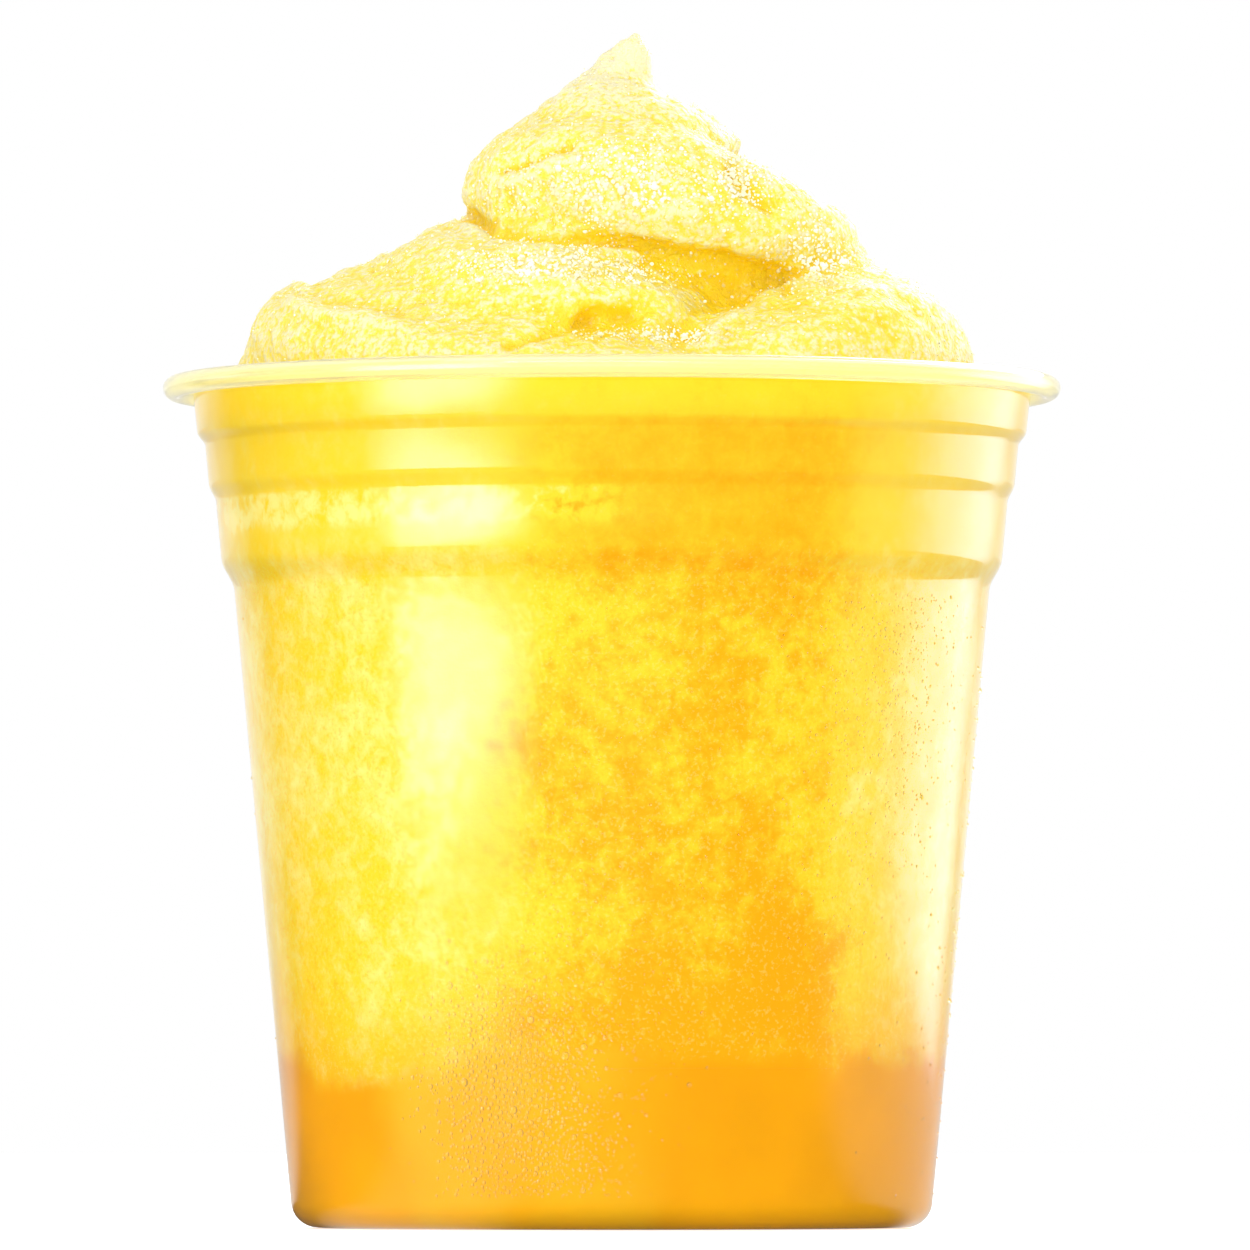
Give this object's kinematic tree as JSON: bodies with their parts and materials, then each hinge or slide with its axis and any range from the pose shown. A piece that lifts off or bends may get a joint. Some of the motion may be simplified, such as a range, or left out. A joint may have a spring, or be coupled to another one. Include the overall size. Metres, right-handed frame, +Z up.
{
  "type": "orange jasmine frappe",
  "caption": "Clear plastic cup with stepped rings and a rolled rim, filled with orange slush over settled juice and topped with a piped swirl of slush that rises to a leaning peak.",
  "frame": {"origin": "centre of the cup's foot, on the surface that it stands on", "axes": "+Z up along the cup's axis, -Y towards the side that the picture shows, +X to its right"},
  "size_m": [0.098, 0.098, 0.1307],
  "materials": {
    "clear_plastic": "clear, smooth and glossy thin plastic with fine condensation",
    "juice": "deep orange juice settled under the slush, seen through the cup",
    "slush": "wet icy slush, yellow orange with paler flocks, seen through the cup",
    "swirl": "wet grainy slush, pale yellow, deeper in the folds"
  },
  "bodies": {
    "root": {"cup": "clear_plastic", "juice_layer": "juice", "slush_fill": "slush", "slush_swirl": "swirl"}
  },
  "joints": []
}
